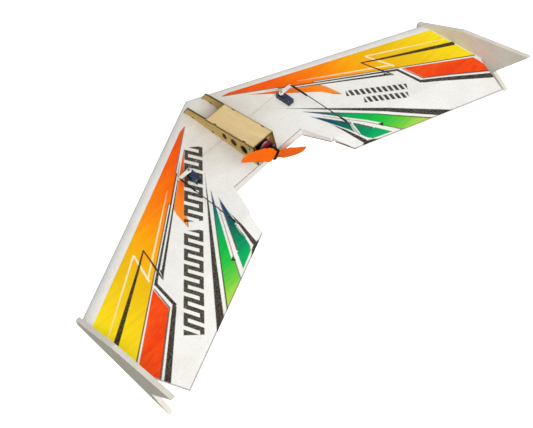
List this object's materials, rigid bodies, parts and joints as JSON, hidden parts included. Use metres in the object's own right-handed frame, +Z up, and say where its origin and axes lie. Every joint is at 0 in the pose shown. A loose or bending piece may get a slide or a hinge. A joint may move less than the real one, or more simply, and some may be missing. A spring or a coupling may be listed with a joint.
{
  "type": "rc flying wing",
  "caption": "Swept foam flying wing with tip fins, hinged elevons, plywood power pod and pusher propeller on an elastic mount.",
  "frame": {"origin": "centre of the footprint at the level of the fin tails, the lowest points", "axes": "+X to the right wing tip, +Y to the nose, +Z up"},
  "size_m": [0.6, 0.312, 0.0903],
  "materials": {
    "foam": "matt",
    "plywood": "matt, laser-cut edges",
    "carbon": "satin",
    "orange_plastic": "gloss",
    "black_anodised": "satin",
    "red_anodised": "satin",
    "stator": "satin",
    "magnet": "satin",
    "steel": "satin",
    "rubber": "matt",
    "servo_black": "satin",
    "servo_navy": "gloss",
    "white_nylon": "satin",
    "black_plastic": "satin",
    "heat_shrink": "satin",
    "blue_wrap": "gloss",
    "red_plug": "satin",
    "hook_loop": "matt",
    "wire": "satin"
  },
  "bodies": {
    "airframe": {"wing_half_left": "foam", "wing_half_right": "foam", "wing_spar": "carbon", "fin_left": "foam", "fin_right": "foam", "pod_side_left": "plywood", "pod_side_right": "plywood", "pod_top_plate": "plywood", "motor_firewall": "plywood", "battery_pad": "hook_loop", "battery_pack": "blue_wrap", "battery_leads": "wire", "battery_plug": "red_plug", "esc_leads": "wire", "speed_controller": "heat_shrink", "receiver": "black_plastic", "servo_lead_left": "wire", "servo_lead_right": "wire", "motor_base": "black_anodised", "motor_stator": "stator", "motor_screws": "steel", "motor_wires": "wire", "servo_case_left": "servo_black", "servo_top_left": "servo_navy", "servo_case_screws_left": "steel", "servo_case_right": "servo_black", "servo_top_right": "servo_navy", "servo_case_screws_right": "steel"},
    "rotor": {"motor_bell": "black_anodised", "motor_magnets": "magnet", "motor_shaft": "steel", "prop_saver": "red_anodised", "prop_saver_screws": "steel", "prop_ring": "rubber", "propeller": "orange_plastic"},
    "elevon_left": {"elevon_left": "foam", "control_horn_left": "white_nylon"},
    "servo_arm_left": {"servo_arm_left": "white_nylon", "servo_output_left": "white_nylon", "servo_arm_screw_left": "steel"},
    "pushrod_left": {"pushrod_left": "carbon", "pushrod_ends_left": "steel", "pushrod_sleeves_left": "heat_shrink"},
    "elevon_right": {"elevon_right": "foam", "control_horn_right": "white_nylon"},
    "servo_arm_right": {"servo_arm_right": "white_nylon", "servo_output_right": "white_nylon", "servo_arm_screw_right": "steel"},
    "pushrod_right": {"pushrod_right": "carbon", "pushrod_ends_right": "steel", "pushrod_sleeves_right": "heat_shrink"}
  },
  "joints": [
    {"name": "prop_spin", "type": "hinge", "parent": "airframe", "child": "rotor", "pos_m": [0, -0.008, 0.0508], "axis": [0, 1, 0], "continuous": true},
    {"name": "elevon_right_hinge", "type": "hinge", "parent": "airframe", "child": "elevon_right", "pos_m": [0.18, -0.0617, 0.033], "axis": [-0.9664, 0.2569, 0], "range_deg": [-20, 20]},
    {"name": "servo_arm_right_turn", "type": "hinge", "parent": "airframe", "child": "servo_arm_right", "pos_m": [0.0806, 0.0594, 0.0409], "axis": [0, 0, 1], "range_deg": [-14, 14]},
    {"name": "pushrod_right_pivot", "type": "hinge", "parent": "servo_arm_right", "child": "pushrod_right", "pos_m": [0.097, 0.0594, 0.0432], "axis": [0, 0, 1], "range_deg": [-14, 14]},
    {"name": "elevon_left_hinge", "type": "hinge", "parent": "airframe", "child": "elevon_left", "pos_m": [-0.18, -0.0617, 0.033], "axis": [-0.9664, -0.2569, 0], "range_deg": [-20, 20]},
    {"name": "servo_arm_left_turn", "type": "hinge", "parent": "airframe", "child": "servo_arm_left", "pos_m": [-0.0806, 0.0594, 0.0409], "axis": [0, 0, 1], "range_deg": [-14, 14]},
    {"name": "pushrod_left_pivot", "type": "hinge", "parent": "servo_arm_left", "child": "pushrod_left", "pos_m": [-0.097, 0.0594, 0.0432], "axis": [0, 0, 1], "range_deg": [-14, 14]}
  ],
  "couplings": [
    {"joint": "servo_arm_right_turn", "follows": "elevon_right_hinge", "ratio": 0.60108},
    {"joint": "pushrod_right_pivot", "follows": "elevon_right_hinge", "ratio": -0.57477},
    {"joint": "servo_arm_left_turn", "follows": "elevon_left_hinge", "ratio": -0.60108},
    {"joint": "pushrod_left_pivot", "follows": "elevon_left_hinge", "ratio": 0.57477}
  ]
}
